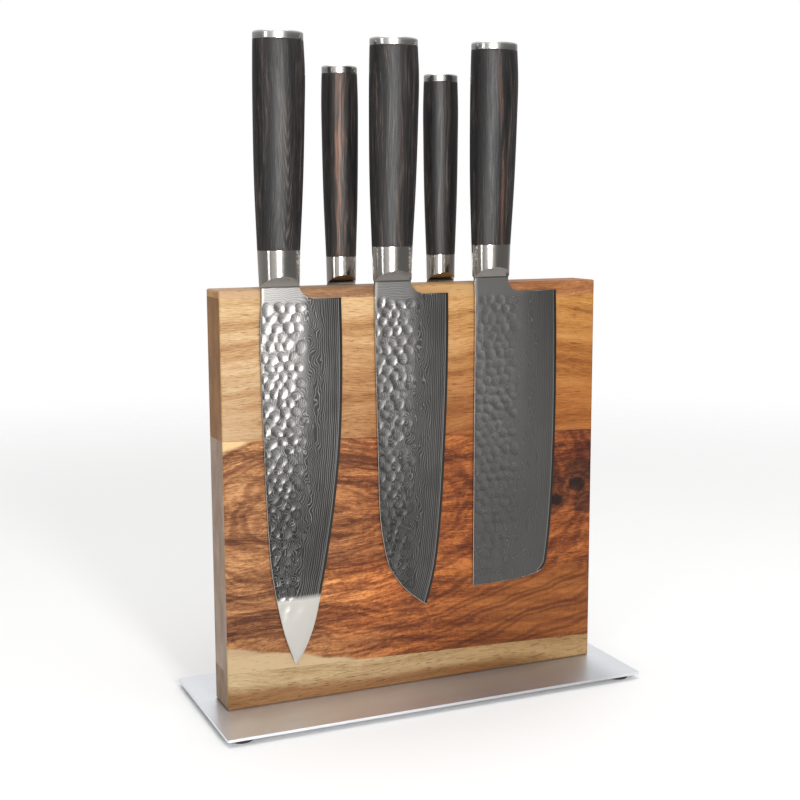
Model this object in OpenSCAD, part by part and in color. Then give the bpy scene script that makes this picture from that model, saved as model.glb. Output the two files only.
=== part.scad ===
// Magnetic knife block: a board of four edge-glued planks stands on a steel plate with rubber feet,
// and magnets inside the board hold three knives on the front face and two on the back.
// Millimetres. +Z is up, the front face looks along -Y, and the origin is the middle of the
// footprint at the underside of the feet.

/* [Base plate] */
// Width of the plate, left to right
plate_w = 251; // [240:1:300]
// Depth of the plate, front to back
plate_d = 101; // [90:1:140]
// Thickness of the plate
plate_t = 1.5; // [1.5:0.5:4]
// Radius of the plate's upright corners
plate_corner_r = 1; // [0.5:0.5:4]

/* [Feet] */
// Diameter of a foot
foot_d = 14; // [10:1:20]
// Height of a foot
foot_h = 3; // [3:0.5:6]
// Distance from a foot's middle to the two nearest edges of the plate
foot_inset = 10; // [10:1:20]
// Chamfer round the underside of a foot
foot_chamfer = 0.6; // [0.2:0.1:1]

/* [Board] */
// Width of the board
board_w = 228; // [220:1:236]
// Height of the board
board_h = 229; // [226:1:240]
// Thickness of the board
board_t = 24; // [24:1:30]
// Radius of the board's eased edges
board_edge_r = 1.5; // [1:0.5:2]
// Height of the bottom glue joint at the left end of the board
bottom_joint_left = 21; // [19:0.5:24]
// Height of the bottom glue joint at the right end
bottom_joint_right = 13.5; // [13:0.5:18]
// Height of the middle glue joint at the left end
middle_joint_left = 149; // [140:0.5:152]
// Height of the middle glue joint at the right end
middle_joint_right = 140; // [136:0.5:148]
// Height of the top glue joint at the left end
top_joint_left = 225; // [220:0.5:225.5]
// Height of the top glue joint at the right end
top_joint_right = 220; // [216:0.5:225]

/* [Magnets] */
// Wood left between a magnet and the face of the board
magnet_cover = 3; // [2:0.5:4]
// Number of magnets in a row
magnet_count = 6; // [4:1:6]
// Length of a magnet
magnet_l = 30; // [20:1:30]
// Height of a magnet
magnet_h = 24; // [15:1:30]
// Distance between the middles of two magnets
magnet_pitch = 32; // [31:0.5:34]
// Thickness of the steel strip between the front and back magnets
keeper_t = 2; // [1:0.5:4]

/* [Base screws] */
// Distance of the outer screws from the middle of the board
screw_reach = 84; // [60:1:95]
// Diameter of the screw's shank
screw_d = 4; // [3:0.5:5]
// Diameter of the screw's button head
screw_head_d = 7.6; // [7:0.2:9]
// Height of the button head
screw_head_h = 2.2; // [1.5:0.1:2.5]
// Length of the screw below its head
screw_l = 10.5; // [9:0.5:10.5]
// Outer diameter of the threaded insert
insert_d = 7; // [6:0.5:8]
// Length of the threaded insert
insert_l = 9; // [7:0.5:9.5]

/* [Knives] */
// Height of a knife's zero line, where its neck begins, above the top of the board
hang_gap = 1; // [0.5:0.5:3]
// Thickness of a blade at its spine
blade_t = 2; // [1.6:0.1:2.4]
// Thickness of a blade at its edge
edge_t = 0.4; // [0.3:0.1:0.8]
// Thickness of a blade at its tip, as a share of the spine
tip_share = 0.5; // [0.4:0.05:1]
// Width of the flat of a blade before it thins towards the edge
flat_w = 22; // [21.5:0.5:24]
// Thickness of a handle as a share of its width
handle_oval = 0.7; // [0.6:0.05:0.9]

/* [Large handles] */
// Widest part of the handle
large_grip_w = 28.1; // [27:0.1:31]
// Bolster and handle and cap together
large_handle_l = 131; // [120:1:135]
// The same on the chef's knife
chef_handle_l = 131.5; // [120:0.5:135]
// Length of the bolster
large_bolster_l = 20.5; // [15:0.5:25]
// The same on the chef's knife
chef_bolster_l = 19.5; // [15:0.5:25]
// Width of the neck of the blade
large_neck_w = 21.4; // [21:0.1:22]
// Lean of a large handle's end towards the edge side, as a share of its width
large_lean = 0.05; // [0:0.01:0.06]

/* [Small handles] */
// Widest part of the handle
small_grip_w = 20.9; // [20:0.1:24]
// Bolster and handle and cap together on the utility knife
utility_handle_l = 118; // [110:1:122]
// Bolster and handle and cap together on the paring knife
paring_handle_l = 115.5; // [108:0.5:120]
// Length of the bolster
small_bolster_l = 14.5; // [12:0.5:18]
// Width of the neck of the blade
small_neck_w = 16.2; // [15:0.2:17]
// Length of the steel cap on every handle
cap_l = 4; // [3:0.5:6]

/* [Knife places] */
// Left edge of the chef's knife, from the middle of the board
chef_x = -91.7; // [-105:0.1:-88]
// Left edge of the santoku
santoku_x = -26.6; // [-35:0.1:-18]
// Left edge of the nakiri
nakiri_x = 34; // [30:0.1:50]
// Right edge of the utility knife, on the back
utility_x = -27.6; // [-40:0.1:-15]
// Right edge of the paring knife, on the back
paring_x = 33.8; // [20:0.1:50]
// How far the bolster's lowest line stands above the neck's lowest place: chef's knife
chef_rise = 0.3; // [0.1:0.1:3]
// The same for the santoku
santoku_rise = 1.9; // [0.1:0.1:3]
// The same for the nakiri
nakiri_rise = 2.5; // [0.1:0.1:3]
// The same for the two small knives
small_rise = 0.3; // [0.1:0.1:3]

/* [Hidden] */
$fn = 48;

plate_top = foot_h + plate_t;
knife_z = plate_top + board_h + hang_gap;
magnet_t = (board_t - 2 * magnet_cover - keeper_t) / 2;
slot_l = magnet_count * magnet_pitch;
glue_gap = 0.05;
air_gap = 0.1;
thin = 0.01;
far = 400;

// Colours
brushed = [0.72, 0.71, 0.69];
polished = [0.8, 0.79, 0.78];
hammered = [0.45, 0.45, 0.46];
pakkawood = [0.17, 0.12, 0.1];
ferrite = [0.22, 0.22, 0.24];

// ---- Curves ----

// A point between b and c on the smooth curve through a, b, c and d
function curve_point(a, b, c, d, t) =
    0.5 * (2 * b + (c - a) * t + (2 * a - 5 * b + 4 * c - d) * t * t
        + (3 * b - a - 3 * c + d) * t * t * t);

// A smooth curve through a few points, with a number of steps between each two
function curve(points, steps = 6) = let (last = len(points) - 1) concat(
    [for (i = [0:last - 1], s = [0:steps - 1])
        curve_point(points[max(i - 1, 0)], points[i], points[i + 1],
            points[min(i + 2, last)], s / steps)],
    [points[last]]);

// ---- Base ----

module foot(side_x, side_y) {
    translate([side_x * (plate_w / 2 - foot_inset), side_y * (plate_d / 2 - foot_inset), 0])
        rotate_extrude()
            polygon([[0, 0], [foot_d / 2 - foot_chamfer, 0], [foot_d / 2, foot_chamfer],
                [foot_d / 2, foot_h], [0, foot_h]]);
}

module foot_front_left() { color("black") foot(-1, -1); }
module foot_front_right() { color("black") foot(1, -1); }
module foot_back_left() { color("black") foot(-1, 1); }
module foot_back_right() { color("black") foot(1, 1); }

module at_screws() {
    for (x = [-screw_reach, -screw_reach / 3, screw_reach / 3, screw_reach])
        translate([x, 0, 0])
            children();
}

module rounded_rectangle(w, h, r) {
    square([w - 2 * r, h], center = true);
    square([w, h - 2 * r], center = true);
    for (sx = [-1, 1], sy = [-1, 1])
        translate([sx * (w / 2 - r), sy * (h / 2 - r)])
            circle(r);
}

module base_plate() {
    color(brushed)
        difference() {
            translate([0, 0, foot_h])
                linear_extrude(plate_t)
                    rounded_rectangle(plate_w, plate_d, plate_corner_r);
            at_screws()
                cylinder(h = plate_top + 1, d = screw_d + 0.5);
        }
}

module base_screws() {
    color(polished)
        at_screws() {
            translate([0, 0, foot_h])
                cylinder(h = screw_l, d = screw_d - 2 * glue_gap);
            translate([0, 0, foot_h - screw_head_h])
                cylinder(h = screw_head_h, d = screw_head_d);
        }
}

module threaded_inserts() {
    color("goldenrod")
        at_screws()
            translate([0, 0, plate_top])
                difference() {
                    cylinder(h = insert_l, d = insert_d);
                    translate([0, 0, -1])
                        cylinder(h = insert_l + 2, d = screw_d);
                }
}

// ---- Board ----

// The whole board as one block with eased edges
module board_block() {
    translate([0, 0, plate_top + board_h / 2])
        intersection() {
            rotate([90, 0, 0])
                linear_extrude(board_t, center = true)
                    rounded_rectangle(board_w, board_h, board_edge_r);
            rotate([90, 0, 90])
                linear_extrude(board_w, center = true)
                    rounded_rectangle(board_t, board_h, board_edge_r);
            linear_extrude(board_h, center = true)
                rounded_rectangle(board_w, board_t, board_edge_r);
        }
}

// The stretch of the board between two slanting glue joints
module plank(low_left, low_right, high_left, high_right) {
    intersection() {
        board_block();
        translate([0, 0, plate_top])
            rotate([90, 0, 0])
                linear_extrude(board_t + 2, center = true)
                    polygon([[-board_w / 2, low_left], [board_w / 2, low_right],
                        [board_w / 2, high_right], [-board_w / 2, high_left]]);
    }
}

// Puts things on a glue joint, with its slant
module at_joint(left, right) {
    translate([0, 0, plate_top + (left + right) / 2])
        rotate([0, atan((left - right) / board_w), 0])
            children();
}

module at_middle_joint() { at_joint(middle_joint_left, middle_joint_right) children(); }
module at_top_joint() { at_joint(top_joint_left, top_joint_right) children(); }

// The slot cut down from a joint for the magnets, which the next plank closes
module magnet_slot() {
    translate([-slot_l / 2, -board_t / 2 + magnet_cover, -magnet_h])
        cube([slot_l, board_t - 2 * magnet_cover, magnet_h + board_h / 4]);
}

module magnet_row(side) {
    for (i = [0:magnet_count - 1])
        translate([(i + 0.5) * magnet_pitch - slot_l / 2, side * (keeper_t + magnet_t) / 2,
                -magnet_h / 2])
            cube([magnet_l, magnet_t, magnet_h], center = true);
}

module keeper() {
    translate([0, 0, -magnet_h / 2])
        cube([slot_l, keeper_t, magnet_h], center = true);
}

module bottom_strip() {
    color([0.84, 0.72, 0.5])
        difference() {
            plank(0, 0, bottom_joint_left, bottom_joint_right);
            at_screws()
                translate([0, 0, plate_top - 1])
                    cylinder(h = insert_l + 1, d = insert_d);
        }
}

module lower_plank() {
    color([0.66, 0.42, 0.26])
        difference() {
            plank(bottom_joint_left, bottom_joint_right, middle_joint_left, middle_joint_right);
            at_middle_joint()
                magnet_slot();
        }
}

module upper_plank() {
    color([0.87, 0.66, 0.44])
        difference() {
            plank(middle_joint_left, middle_joint_right, top_joint_left, top_joint_right);
            at_top_joint()
                magnet_slot();
        }
}

module top_strip() {
    color([0.74, 0.53, 0.34])
        plank(top_joint_left, top_joint_right, board_h, board_h);
}

module lower_front_magnets() { color(ferrite) at_middle_joint() magnet_row(-1); }
module lower_back_magnets() { color(ferrite) at_middle_joint() magnet_row(1); }
module lower_keeper() { color("gray") at_middle_joint() keeper(); }
module upper_front_magnets() { color(ferrite) at_top_joint() magnet_row(-1); }
module upper_back_magnets() { color(ferrite) at_top_joint() magnet_row(1); }
module upper_keeper() { color("gray") at_top_joint() keeper(); }

// ---- Knives ----
// Each knife is drawn with its spine near x = 0, its edge towards +X, its middle plane at y = 0
// and its tip below z = 0, where the neck begins. On the back it is turned round.

module on_front(x) {
    translate([x, -(board_t + blade_t) / 2 - air_gap, knife_z])
        children();
}

module on_back(x) {
    translate([x, (board_t + blade_t) / 2 + air_gap, knife_z])
        rotate([0, 0, 180])
            children();
}

// The tang: it narrows from the bolster up into the cap
module tang_outline(neck_w, top, grow = 0) {
    wide = neck_w * 0.3;
    narrow = neck_w * 0.17;
    polygon([[neck_w / 2 - wide - grow, -1], [neck_w / 2 + wide + grow, -1],
        [neck_w * 0.55 + narrow + grow, top + grow], [neck_w * 0.55 - narrow - grow, top + grow]]);
}

module upright(t) {
    rotate([90, 0, 0])
        linear_extrude(t, center = true)
            children();
}

module tang_slot(neck_w, handle_l) {
    upright(blade_t + 2 * glue_gap)
        tang_outline(neck_w, handle_l - cap_l / 2, glue_gap);
}

// A blade from its outline: spine from the neck to the tip, then edge from the tip to the heel.
// The heel meets the neck in a round notch, and the plate thins towards the edge and the tip.
module blade(spine, edge, neck_w, handle_l, rise, notch_r = 9) {
    heel = edge[len(edge) - 1];
    tip_z = min([for (p = concat(spine, edge)) p[1]]);
    notch_w = sqrt(notch_r * notch_r - pow(notch_r + heel[1], 2));
    intersection() {
        upright(blade_t) {
            polygon(concat(spine, edge, [[neck_w, heel[1]], [neck_w, rise], [spine[0][0], rise]]));
            difference() {
                translate([neck_w - 1, heel[1] - 1])
                    square([notch_w + 1, 1 - heel[1]]);
                translate([neck_w + notch_w, heel[1] + notch_r])
                    circle(notch_r);
            }
        }
        translate([0, 0, tip_z - 1])
            linear_extrude(far)
                polygon([[-2, -blade_t / 2], [flat_w, -blade_t / 2], [heel[0], -edge_t / 2],
                    [heel[0] + 2, -edge_t / 2], [heel[0] + 2, edge_t / 2], [heel[0], edge_t / 2],
                    [flat_w, blade_t / 2], [-2, blade_t / 2]]);
        rotate([90, 0, 90])
            linear_extrude(far, center = true)
                polygon([[-blade_t / 2, far], [-blade_t / 2, heel[1] * 2],
                    [-blade_t * tip_share / 2, tip_z], [blade_t * tip_share / 2, tip_z],
                    [blade_t / 2, heel[1] * 2], [blade_t / 2, far]]);
    }
    upright(blade_t)
        tang_outline(neck_w, handle_l - cap_l / 2);
}

// One oval slice of a handle
module slice(z, middle, width) {
    translate([middle, 0, z])
        linear_extrude(thin)
            scale([width, width * handle_oval])
                circle(d = 1, $fn = 32);
}

// The bolster's underside is two slopes that meet in a line along the blade
module bolster(neck_w, grip_w, bolster_l, rise) {
    bottom_w = neck_w + 0.6;
    top_w = grip_w * 0.83;
    slope = 40;
    difference() {
        hull() {
            slice(rise, neck_w / 2, bottom_w);
            slice(bolster_l - thin, neck_w / 2, top_w);
        }
        for (side = [-1, 1])
            translate([neck_w / 2, side * blade_t / 2, rise])
                rotate([side * slope, 0, 0])
                    translate([0, side * grip_w / 2, -grip_w / 2])
                        cube([2 * grip_w, grip_w, grip_w], center = true);
        tang_slot(neck_w, far);
    }
}

module handle(neck_w, grip_w, handle_l, bolster_l, lean) {
    grip_l = handle_l - bolster_l - cap_l;
    // Share of the grip's length, width as a share of the widest, share of the end's lean
    shape = [[0, 0.83, 0], [0.33, 0.94, 0.4], [0.65, 0.99, 0.84], [0.86, 1, 1.1], [1, 0.965, 1]];
    difference() {
        hull()
            for (s = shape)
                slice(bolster_l + min(s[0] * grip_l, grip_l - thin),
                    neck_w / 2 + s[2] * lean * grip_w, s[1] * grip_w);
        tang_slot(neck_w, handle_l);
    }
}

module cap(neck_w, grip_w, handle_l, lean) {
    middle = neck_w / 2 + lean * grip_w;
    difference() {
        hull() {
            slice(handle_l - cap_l, middle, 0.965 * grip_w);
            slice(handle_l - 1.5, middle, 0.945 * grip_w);
            slice(handle_l - 0.4, middle, 0.9 * grip_w);
            slice(handle_l - thin, middle, 0.84 * grip_w);
        }
        tang_slot(neck_w, handle_l);
    }
}

module large_bolster(rise, bolster_l = large_bolster_l) {
    color(polished)
        bolster(large_neck_w, large_grip_w, bolster_l, rise);
}

module large_handle(handle_l, bolster_l = large_bolster_l) {
    color(pakkawood)
        handle(large_neck_w, large_grip_w, handle_l, bolster_l, large_lean);
}

module large_cap(handle_l) {
    color(brushed)
        cap(large_neck_w, large_grip_w, handle_l, large_lean);
}

module small_bolster() {
    color(polished)
        bolster(small_neck_w, small_grip_w, small_bolster_l, small_rise);
}

module small_handle(handle_l) {
    color(pakkawood)
        handle(small_neck_w, small_grip_w, handle_l, small_bolster_l, 0);
}

module small_cap(handle_l) {
    color(brushed)
        cap(small_neck_w, small_grip_w, handle_l, 0);
}

// Chef's knife: a long blade whose edge sweeps up to a point in line with the spine side
module chef_blade() {
    spine = curve([[0.3, 0], [0.2, -8], [-0.7, -22], [-0.6, -45], [0.2, -80], [1.4, -120],
        [3.1, -150], [6, -170], [10.5, -191], [16.7, -209]]);
    edge = curve([[16.7, -209], [22, -201], [27.8, -187], [32.5, -167], [37.6, -140],
        [41.6, -113], [44.8, -80], [46, -40], [45.6, -6.5]]);
    color(hammered)
        on_front(chef_x)
            blade(spine, edge, large_neck_w, chef_handle_l, chef_rise);
}

module chef_bolster() { on_front(chef_x) large_bolster(chef_rise, chef_bolster_l); }
module chef_handle() { on_front(chef_x) large_handle(chef_handle_l, chef_bolster_l); }
module chef_cap() { on_front(chef_x) large_cap(chef_handle_l); }

// Santoku: the spine drops in a curve to meet a nearly straight edge
module santoku_blade() {
    spine = curve([[0, 0], [-0.2, -20], [0.4, -50], [1.5, -100], [2.5, -130], [5.5, -150],
        [8.9, -161], [17.3, -172.8], [25.4, -180], [31.1, -184]]);
    edge = curve([[31.1, -184], [35.6, -168], [38.1, -154], [40.9, -126], [42.8, -92],
        [44.1, -60], [44.7, -30], [44.6, -5.8]]);
    color(hammered)
        on_front(santoku_x)
            blade(spine, edge, large_neck_w, large_handle_l, santoku_rise);
}

module santoku_bolster() { on_front(santoku_x) large_bolster(santoku_rise); }
module santoku_handle() { on_front(santoku_x) large_handle(large_handle_l); }
module santoku_cap() { on_front(santoku_x) large_cap(large_handle_l); }

// Nakiri: a tall rectangular blade with a square spine corner and a rounded edge corner
module nakiri_blade() {
    spine = curve([[0.2, 0], [0.6, -22], [0.4, -90], [0.2, -176.6]]);
    edge = concat(
        curve([[25, -176.2], [37.6, -174.6], [45, -172.4], [48.6, -168]], 4),
        curve([[49.5, -162], [51.3, -145], [53.1, -115], [54, -75], [53.9, -35], [53.2, -6]]));
    color(hammered)
        on_front(nakiri_x)
            blade(spine, edge, large_neck_w, large_handle_l, nakiri_rise, 7);
}

module nakiri_bolster() { on_front(nakiri_x) large_bolster(nakiri_rise); }
module nakiri_handle() { on_front(nakiri_x) large_handle(large_handle_l); }
module nakiri_cap() { on_front(nakiri_x) large_cap(large_handle_l); }

// Utility and paring knives: slim pointed blades on the small handles
module small_blade(length, heel_w, handle_l) {
    spine = curve([[0, 0], [0.2, -length * 0.35], [1, -length * 0.7], [heel_w * 0.2, -length * 0.9],
        [heel_w * 0.4, -length]]);
    edge = curve([[heel_w * 0.4, -length], [heel_w * 0.72, -length * 0.88],
        [heel_w * 0.9, -length * 0.65], [heel_w * 0.99, -length * 0.35], [heel_w, -5]]);
    color(hammered)
        blade(spine, edge, small_neck_w, handle_l, small_rise, 6);
}

module utility_blade() { on_back(utility_x) small_blade(133, 30, utility_handle_l); }
module utility_bolster() { on_back(utility_x) small_bolster(); }
module utility_handle() { on_back(utility_x) small_handle(utility_handle_l); }
module utility_cap() { on_back(utility_x) small_cap(utility_handle_l); }

module paring_blade() { on_back(paring_x) small_blade(95, 25, paring_handle_l); }
module paring_bolster() { on_back(paring_x) small_bolster(); }
module paring_handle() { on_back(paring_x) small_handle(paring_handle_l); }
module paring_cap() { on_back(paring_x) small_cap(paring_handle_l); }

base_plate();
foot_front_left();
foot_front_right();
foot_back_left();
foot_back_right();
base_screws();
threaded_inserts();
bottom_strip();
lower_plank();
upper_plank();
top_strip();
lower_front_magnets();
lower_back_magnets();
lower_keeper();
upper_front_magnets();
upper_back_magnets();
upper_keeper();
chef_blade();
chef_bolster();
chef_handle();
chef_cap();
santoku_blade();
santoku_bolster();
santoku_handle();
santoku_cap();
nakiri_blade();
nakiri_bolster();
nakiri_handle();
nakiri_cap();
utility_blade();
utility_bolster();
utility_handle();
utility_cap();
paring_blade();
paring_bolster();
paring_handle();
paring_cap();
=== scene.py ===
"""The looks of the magnetic knife block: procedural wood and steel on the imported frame, and detailed
hammered blades, bolsters, handles and caps in place of the plain CAD ones."""

import math

import bpy
import numpy as np
from mathutils import Euler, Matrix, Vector
from mathutils.geometry import delaunay_2d_cdt


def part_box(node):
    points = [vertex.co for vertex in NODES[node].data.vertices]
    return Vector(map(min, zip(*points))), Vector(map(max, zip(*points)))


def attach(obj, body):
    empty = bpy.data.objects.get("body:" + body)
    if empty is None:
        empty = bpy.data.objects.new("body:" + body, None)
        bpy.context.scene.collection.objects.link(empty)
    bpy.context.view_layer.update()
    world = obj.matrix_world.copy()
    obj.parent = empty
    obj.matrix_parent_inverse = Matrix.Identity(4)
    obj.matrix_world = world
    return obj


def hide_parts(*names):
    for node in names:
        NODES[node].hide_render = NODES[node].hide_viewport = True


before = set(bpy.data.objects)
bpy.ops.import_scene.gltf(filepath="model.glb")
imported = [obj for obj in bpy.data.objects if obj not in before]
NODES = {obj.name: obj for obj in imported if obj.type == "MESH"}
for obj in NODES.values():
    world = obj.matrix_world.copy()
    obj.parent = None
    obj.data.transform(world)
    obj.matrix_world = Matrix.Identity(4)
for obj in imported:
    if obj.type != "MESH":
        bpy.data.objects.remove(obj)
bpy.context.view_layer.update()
MM = 0.001

# ---- Camera ----

PLATE_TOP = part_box("base_plate")[1][2]
CAMERA_PLACE = Vector((-0.3083, -0.6906, PLATE_TOP + 0.2744))
CAMERA_AZIMUTH = -23.65
CAMERA_DOWN = 8.38
CAMERA_ROLL = -0.21
SENSOR = 36.0
FOCAL_LENGTH = 60.47


def make_camera():
    data = bpy.data.cameras.new("camera")
    data.sensor_width = SENSOR
    data.lens = FOCAL_LENGTH
    data.clip_start = 0.01
    camera = bpy.data.objects.new("camera", data)
    bpy.context.scene.collection.objects.link(camera)
    camera.location = CAMERA_PLACE
    turn = Euler((math.radians(90 - CAMERA_DOWN), 0, math.radians(CAMERA_AZIMUTH)), "XYZ")
    roll = Euler((0, 0, math.radians(CAMERA_ROLL)), "XYZ")
    camera.rotation_euler = (turn.to_matrix() @ roll.to_matrix()).to_euler()
    bpy.context.scene.camera = camera


make_camera()
bpy.context.scene.view_settings.view_transform = "Standard"

# ---- Shader building blocks ----


class Shader:
    """A material under construction, with short calls for the nodes used here."""

    def __init__(self, name):
        self.material = bpy.data.materials.new(name)
        self.material.use_nodes = True
        self.tree = self.material.node_tree
        self.surface = self.tree.nodes["Principled BSDF"]

    def node(self, kind, inputs=(), **settings):
        made = self.tree.nodes.new(kind)
        for key, value in settings.items():
            setattr(made, key, value)
        for key, value in dict(inputs).items():
            self.feed(made.inputs[key], value)
        return made

    def feed(self, socket, value):
        if isinstance(value, bpy.types.NodeSocket):
            self.tree.links.new(value, socket)
        else:
            socket.default_value = value

    def set(self, **inputs):
        """Sets the surface's own sockets; a name's underscores stand for spaces."""
        for key, value in inputs.items():
            self.feed(self.surface.inputs[key.replace("_", " ")], value)

    def place(self):
        """The point's place in the row frame, in millimetres."""
        coords = self.node("ShaderNodeTexCoord").outputs["Object"]
        return self.vector("SCALE", coords, scale=1 / MM)

    def vector(self, operation, a, b=None, scale=None):
        made = self.node("ShaderNodeVectorMath", {0: a}, operation=operation)
        if b is not None:
            self.feed(made.inputs[1], b)
        if scale is not None:
            self.feed(made.inputs["Scale"], scale)
        return made.outputs[0]

    def math(self, operation, a, b=0.0, c=0.0, clamp=False):
        made = self.node("ShaderNodeMath", {0: a, 1: b, 2: c}, operation=operation)
        made.use_clamp = clamp
        return made.outputs[0]

    def split(self, vector):
        return self.node("ShaderNodeSeparateXYZ", {0: vector}).outputs

    def join(self, x=0.0, y=0.0, z=0.0):
        return self.node("ShaderNodeCombineXYZ", {0: x, 1: y, 2: z}).outputs[0]

    def noise(self, vector, stretch=(1, 1, 1), detail=3.0, roughness=0.5, distortion=0.0):
        """Noise from 0 to 1, with stretch as cycles per millimetre along each axis."""
        scaled = self.vector("MULTIPLY", vector, stretch)
        inputs = {"Vector": scaled, "Scale": 1.0, "Detail": detail, "Roughness": roughness,
                  "Distortion": distortion}
        return self.node("ShaderNodeTexNoise", inputs).outputs[0]

    def step(self, value, low, high, to=(0.0, 1.0)):
        """A smooth rise from to[0] at low to to[1] at high."""
        made = self.node("ShaderNodeMapRange", interpolation_type="SMOOTHSTEP")
        for socket, number in zip(made.inputs, (value, low, high, to[0], to[1])):
            self.feed(socket, number)
        return made.outputs[0]

    def mix(self, share, a, b, blend="MIX"):
        made = self.node("ShaderNodeMix", data_type="RGBA", blend_type=blend)
        colours = [s for s in made.inputs if s.type == "RGBA"]
        self.feed(made.inputs[0], share)
        self.feed(colours[0], a)
        self.feed(colours[1], b)
        return [s for s in made.outputs if s.type == "RGBA"][0]

    def ramp(self, value, stops):
        made = self.node("ShaderNodeValToRGB", {0: value})
        points = made.color_ramp.elements
        while len(points) < len(stops):
            points.new(0.5)
        for point, (at, colour) in zip(points, stops):
            point.position = at
            point.color = colour
        return made.outputs[0]

    def bump(self, height, strength, distance):
        inputs = {"Height": height, "Strength": strength, "Distance": distance * MM}
        self.set(Normal=self.node("ShaderNodeBump", inputs).outputs[0])


def srgb(red, green, blue):
    """A colour given as 0 to 255 screen values, made linear."""
    linear = [((c / 255 + 0.055) / 1.055) ** 2.4 if c > 10 else c / 255 / 12.92
              for c in (red, green, blue)]
    return (*linear, 1.0)


# ---- Wood of the board ----

BOARD_LOW, BOARD_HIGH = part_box("lower_plank")
BOARD_LEFT, BOARD_RIGHT = BOARD_LOW[0] / MM, BOARD_HIGH[0] / MM
WOOD_LEVEL = 0.64


def acacia(name, seed, tones, zones, end_tones, figure=0.35, pores=0.5):
    """Acacia with its grain along X. tones go from the darkest to the palest growth;
    zones(shader, place, colour) paints one plank's own features."""
    s = Shader(name)
    place = s.place()
    moved = s.vector("ADD", place, (seed * 310.0, seed * 57.0, seed * 91.0))
    sway = s.noise(moved, (0.007, 0.02, 0.016), 2.0)
    lift = s.math("MULTIPLY", s.math("SUBTRACT", sway, 0.5), 34.0)
    swayed = s.vector("ADD", moved, s.join(z=lift))
    growth = s.noise(swayed, (0.008, 0.09, 0.12), 4.0, 0.55, 0.5)
    fibre = s.noise(swayed, (0.13, 1.2, 1.9), 3.0, 0.7)
    mottle = s.noise(swayed, (0.2, 0.2, 0.5), 3.0, 0.7, 1.5)
    pore = s.noise(moved, (0.16, 1.5, 1.9), 1.0)
    tone = s.math("MULTIPLY_ADD", s.math("SUBTRACT", fibre, 0.5), 0.8, growth)
    tone = s.math("MULTIPLY_ADD", s.math("SUBTRACT", mottle, 0.5), figure, tone)
    colour = s.ramp(tone, list(zip((0.3, 0.5, 0.7), tones)))
    colour = zones(s, place, colour)
    pored = s.step(pore, 0.64, 0.72)
    colour = s.mix(s.math("MULTIPLY", pored, pores), colour, srgb(112, 70, 42), "MULTIPLY")
    colour = s.vector("SCALE", colour, scale=WOOD_LEVEL)
    across = s.split(s.node("ShaderNodeNewGeometry").outputs["Normal"])[0]
    cut = s.step(s.math("ABSOLUTE", across), 0.6, 0.95)
    speck = s.noise(place, (0.3, 1.6, 1.3), 2.0)
    cloud = s.noise(swayed, (0.1, 0.12, 0.05), 3.0)
    end = s.ramp(cloud, [(0.35, end_tones[0]), (0.65, end_tones[1])])
    end = s.mix(s.step(speck, 0.6, 0.7, (0.0, 0.4)), end, srgb(90, 62, 44), "MULTIPLY")
    colour = s.mix(s.math("MULTIPLY", cut, 0.92), colour, end)
    s.set(Base_Color=colour, Roughness=s.step(fibre, 0.2, 0.8, (0.46, 0.6)))
    s.set(Specular_IOR_Level=0.2)
    s.bump(s.math("SUBTRACT", fibre, s.math("MULTIPLY", pored, 0.8)), 0.4, 0.14)
    return s.material


def along(s, place, low, high):
    """How far right a point is, from 0 at low to 1 at high, in millimetres from the middle."""
    return s.step(s.split(place)[0], low, high)


def above(s, place, low, high):
    """How high a point is above the plate, from 0 at low to 1 at high, in millimetres."""
    height = s.math("SUBTRACT", s.split(place)[2], PLATE_TOP / MM)
    return s.step(height, low, high)


def less(s, share):
    return s.math("SUBTRACT", 1.0, share)


def ragged(s, place, size, strength, seed=0.0):
    """The place with its height made uneven, so that a zone's edge follows the grain."""
    shift = s.noise(s.vector("ADD", place, (seed, seed, seed)), (0.3 / size, 1 / size, 1 / size), 4.0)
    shift = s.math("MULTIPLY", s.math("SUBTRACT", shift, 0.5), strength)
    return s.vector("ADD", place, s.join(z=shift))


def tilted(s, place, rise):
    """The place lifted by rise for each millimetre to the right."""
    lift = s.math("MULTIPLY", s.split(place)[0], rise)
    return s.vector("ADD", place, s.join(z=lift))


def length_of(s, vector):
    return s.node("ShaderNodeVectorMath", {0: vector}, operation="LENGTH").outputs["Value"]


def blot(s, place, centre, size, turn_seed=0.0):
    """1 in the middle of an uneven round patch, 0 outside it."""
    uneven = ragged(s, place, size * 0.5, size * 0.9, turn_seed)
    apart = s.vector("MULTIPLY", s.vector("SUBTRACT", uneven, centre), (0.8, 0, 1))
    return s.step(length_of(s, apart), size * 0.6, size * 0.9, (1.0, 0.0))


def upper_zones(s, place, colour):
    """Pale on the left, red-brown on the right and down by the joint, and brighter towards the
    top, partly paler wood and partly painted light from above.
    """
    right = along(s, ragged(s, place, 20, 10), -130, 110)
    colour = s.mix(right, colour, (0.8, 0.57, 0.28, 1), "MULTIPLY")
    low = less(s, above(s, ragged(s, place, 16, 36), 138, 232))
    low = s.math("MULTIPLY", low, s.math("MULTIPLY_ADD", right, 0.7, 0.5), clamp=True)
    colour = s.mix(low, colour, (0.84, 0.6, 0.48, 1), "MULTIPLY")
    # Brighter towards the top: partly paler wood, partly painted light from above
    return s.vector("SCALE", colour, scale=s.step(s.split(place)[2], 150, 230, (0.9, 1.15)))


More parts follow.
